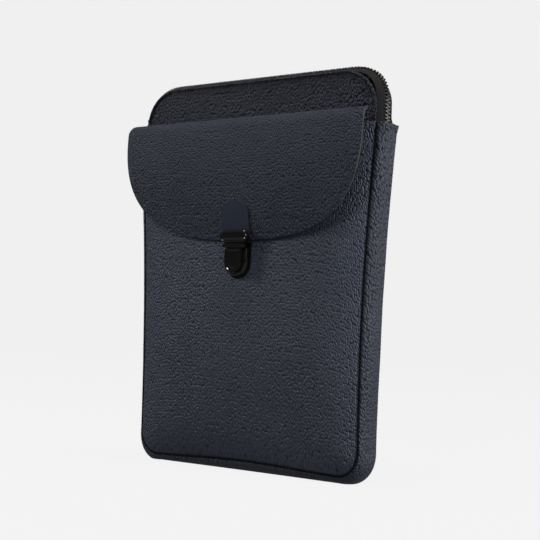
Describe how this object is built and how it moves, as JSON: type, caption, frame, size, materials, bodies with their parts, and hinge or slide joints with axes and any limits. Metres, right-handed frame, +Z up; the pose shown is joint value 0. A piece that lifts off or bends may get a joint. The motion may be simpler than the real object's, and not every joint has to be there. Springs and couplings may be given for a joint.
{
  "type": "tablet sleeve",
  "caption": "Upright leather tablet sleeve with a zipped padded compartment, a full-height front pocket, and a D-shaped fold-over flap that closes on a small tuck lock.",
  "frame": {"origin": "on the flat foot of the gusset, midway along its length and across its width", "axes": "+X to the right seen from the front, +Y to the back, +Z up; the flap and the lock face -Y"},
  "size_m": [0.2386, 0.0504, 0.3106],
  "materials": {
    "pebbled_leather": "satin",
    "smooth_leather": "satin",
    "suede": "matte",
    "lining_cloth": "matte",
    "foam": "matte",
    "board": "matte",
    "thread": "matte",
    "zip_tape": "matte",
    "zip_metal": "satin",
    "black_gloss_metal": "gloss",
    "bare_steel": "satin"
  },
  "bodies": {
    "case": {"pocket_front_panel": "pebbled_leather", "main_front_panel": "pebbled_leather", "back_panel": "pebbled_leather", "gusset": "pebbled_leather", "flap_root_strip": "pebbled_leather", "pocket_lining": "lining_cloth", "front_lining": "lining_cloth", "back_lining": "lining_cloth", "front_padding": "foam", "back_padding": "foam", "bottom_stiffener": "board", "front_seam_thread": "thread", "back_seam_thread": "thread", "zip_tape_front": "zip_tape", "zip_tape_back": "zip_tape", "zip_teeth_front": "zip_metal", "zip_teeth_back": "zip_metal", "zip_end_stops": "zip_metal", "lock_base_plate": "black_gloss_metal", "lock_housing": "black_gloss_metal", "lock_spring": "bare_steel", "lock_backing_plate": "bare_steel"},
    "flap_fold": {"flap_fold": "pebbled_leather"},
    "flap": {"flap_panel": "pebbled_leather", "flap_lining": "suede", "lock_tab": "smooth_leather", "lock_strike": "black_gloss_metal", "strike_backing_plate": "bare_steel"},
    "lock_button": {"lock_button": "black_gloss_metal", "lock_catch_plate": "bare_steel"},
    "zip_slider": {"zip_slider": "zip_metal"},
    "zip_puller": {"zip_puller": "zip_metal"}
  },
  "joints": [
    {"name": "flap_root", "type": "hinge", "parent": "case", "child": "flap_fold", "pos_m": [0, -0.01501, 0.27232], "axis": [-1, 0, 0], "range_deg": [0, 90]},
    {"name": "flap_bend", "type": "hinge", "parent": "flap_fold", "child": "flap", "pos_m": [0, -0.03025, 0.27232], "axis": [-1, 0, 0], "range_deg": [0, 90]},
    {"name": "lock_press", "type": "slide", "parent": "case", "child": "lock_button", "axis": [0, 1, 0], "range_m": [0, 0.0013], "stiffness_N_per_m": 600, "springref_m": -0.001},
    {"name": "zip_travel", "type": "hinge", "parent": "case", "child": "zip_slider", "pos_m": [-0.0805, 0, 0.2775], "axis": [0, 1, 0], "range_deg": [0, 70]},
    {"name": "puller_swing", "type": "hinge", "parent": "zip_slider", "child": "zip_puller", "pos_m": [-0.11576, 0, 0.28372], "axis": [0, 1, 0], "range_deg": [0, 150]}
  ],
  "couplings": [
    {"joint": "flap_bend", "follows": "flap_root", "ratio": 1}
  ]
}
